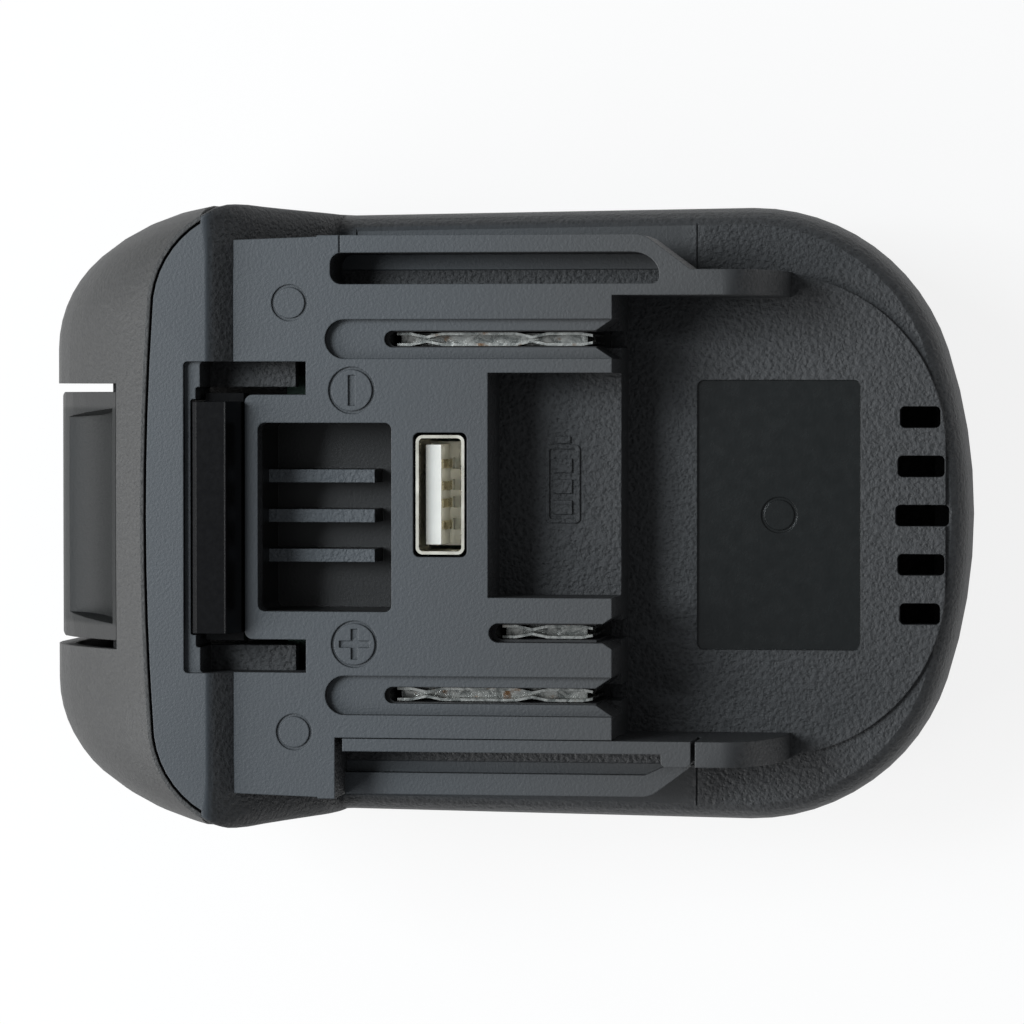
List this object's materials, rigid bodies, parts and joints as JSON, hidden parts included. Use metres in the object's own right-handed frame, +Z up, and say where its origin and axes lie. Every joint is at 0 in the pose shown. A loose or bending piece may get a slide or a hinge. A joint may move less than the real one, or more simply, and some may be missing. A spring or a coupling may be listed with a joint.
{
  "type": "tool battery adapter",
  "caption": "Black plastic adapter that slides onto a cordless tool, with a sprung latch, terminal slots and a USB socket on top, and takes another slide-in battery underneath.",
  "frame": {"origin": "centre of the bounding box in plan, at the underside", "axes": "+X from the release button to the rear vents, +Z up through the rail block, +Y completes a right-handed frame"},
  "size_m": [0.1076, 0.072, 0.0515],
  "materials": {
    "shell": "grained black",
    "latch": "smooth black",
    "carrier": "black",
    "contact": "plated spring metal",
    "steel": "bright",
    "gold": "gold plated",
    "pale_plastic": "pale grey",
    "board": "solder mask",
    "ferrite": "dark grey",
    "can": "satin",
    "red_wire": "red",
    "black_wire": "black",
    "yellow_wire": "yellow"
  },
  "bodies": {
    "housing": {"top_shell": "shell", "lower_shell": "shell", "latch_spring_left": "steel", "latch_spring_right": "steel", "rail_insert": "shell", "contact_carrier": "carrier", "negative_contact": "contact", "positive_contact": "contact", "signal_contact": "contact", "usb_shell": "contact", "usb_tongue": "pale_plastic", "usb_contacts": "gold", "usb_board": "board", "converter_chip": "carrier", "power_inductor": "ferrite", "filter_capacitor": "can", "receiver_terminal_block": "carrier", "receiver_positive_blade": "contact", "receiver_negative_blade": "contact", "receiver_data_blade": "contact", "positive_wire": "red_wire", "negative_wire": "black_wire", "signal_wire": "yellow_wire", "housing_screws": "steel", "board_screws": "steel"},
    "latch": {"release_button": "shell", "latch_bar": "latch"}
  },
  "joints": [
    {"name": "latch_slide", "type": "slide", "parent": "housing", "child": "latch", "axis": [0, 0, -1], "range_m": [0, 0.0055], "stiffness_N_per_m": 800, "springref_m": -0.004, "deforming": ["latch_spring_left", "latch_spring_right"]}
  ]
}
